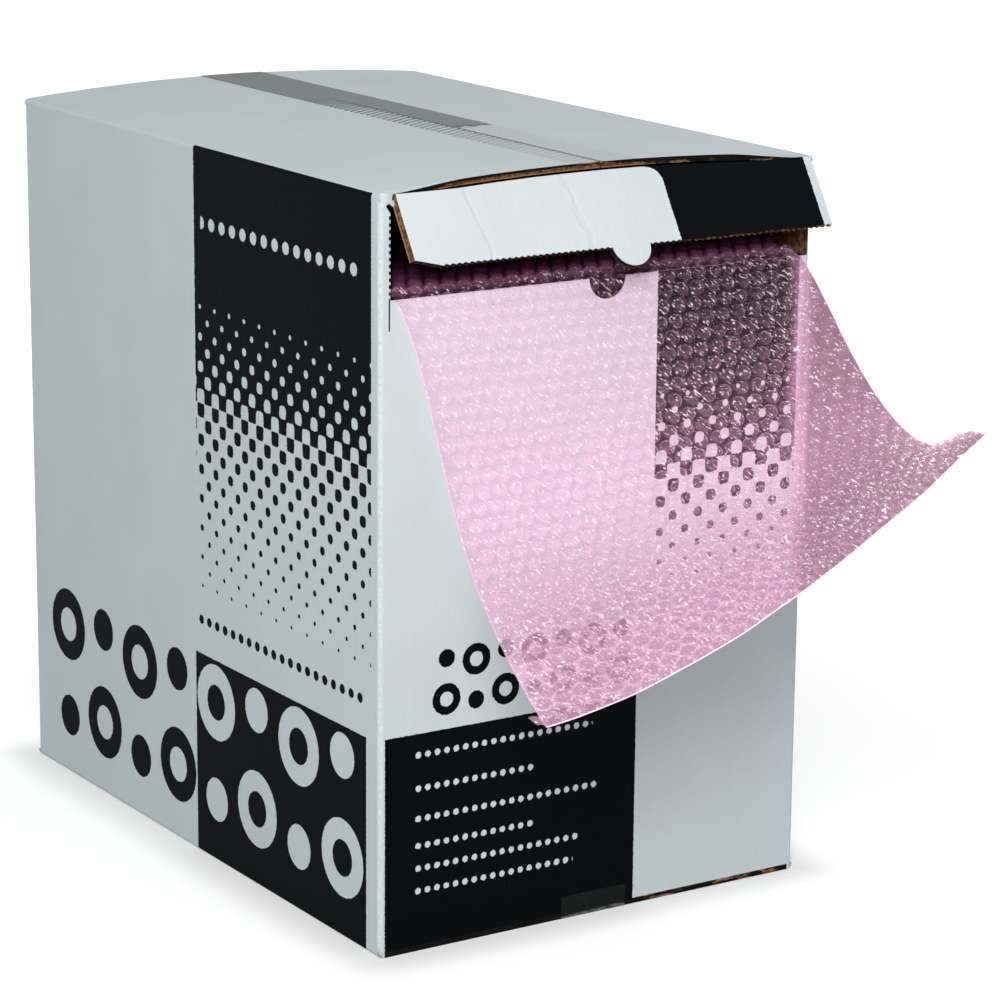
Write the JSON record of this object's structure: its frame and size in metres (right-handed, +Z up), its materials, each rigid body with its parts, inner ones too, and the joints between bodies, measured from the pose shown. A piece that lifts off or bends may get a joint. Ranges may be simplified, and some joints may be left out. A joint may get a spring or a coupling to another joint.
{
  "type": "bubble film roll in dispenser carton",
  "caption": "Roll of pink cushioning bubble film in a tall corrugated carton, with a free sheet hanging out of the dispensing slot under a lift-up flap.",
  "frame": {"origin": "centre of the carton's underside, on the surface it stands on", "axes": "+Z up, -Y out of the front panel with the dispensing slot, +X to the right when facing that panel"},
  "size_m": [0.329, 0.7532, 0.4938],
  "materials": {
    "printed_board": "white lined corrugated board with black print and kraft cut edges",
    "flap_board": "white lined corrugated board, creased, with torn kraft edges",
    "bubble_film": "clear pink polythene film with sealed air bubbles",
    "top_tape": "thin grey packing tape, wrinkled",
    "bottom_tape": "thin clear packing tape over dark print"
  },
  "bodies": {
    "carton": {"carton": "printed_board", "film_roll": "bubble_film", "top_tape": "top_tape", "bottom_tape": "bottom_tape"},
    "flap": {"dispenser_flap": "flap_board"}
  },
  "joints": [
    {"name": "flap_hinge", "type": "hinge", "parent": "carton", "child": "flap", "pos_m": [0, -0.245, 0.486], "axis": [-1, 0, 0], "range_deg": [-22, 140]}
  ]
}
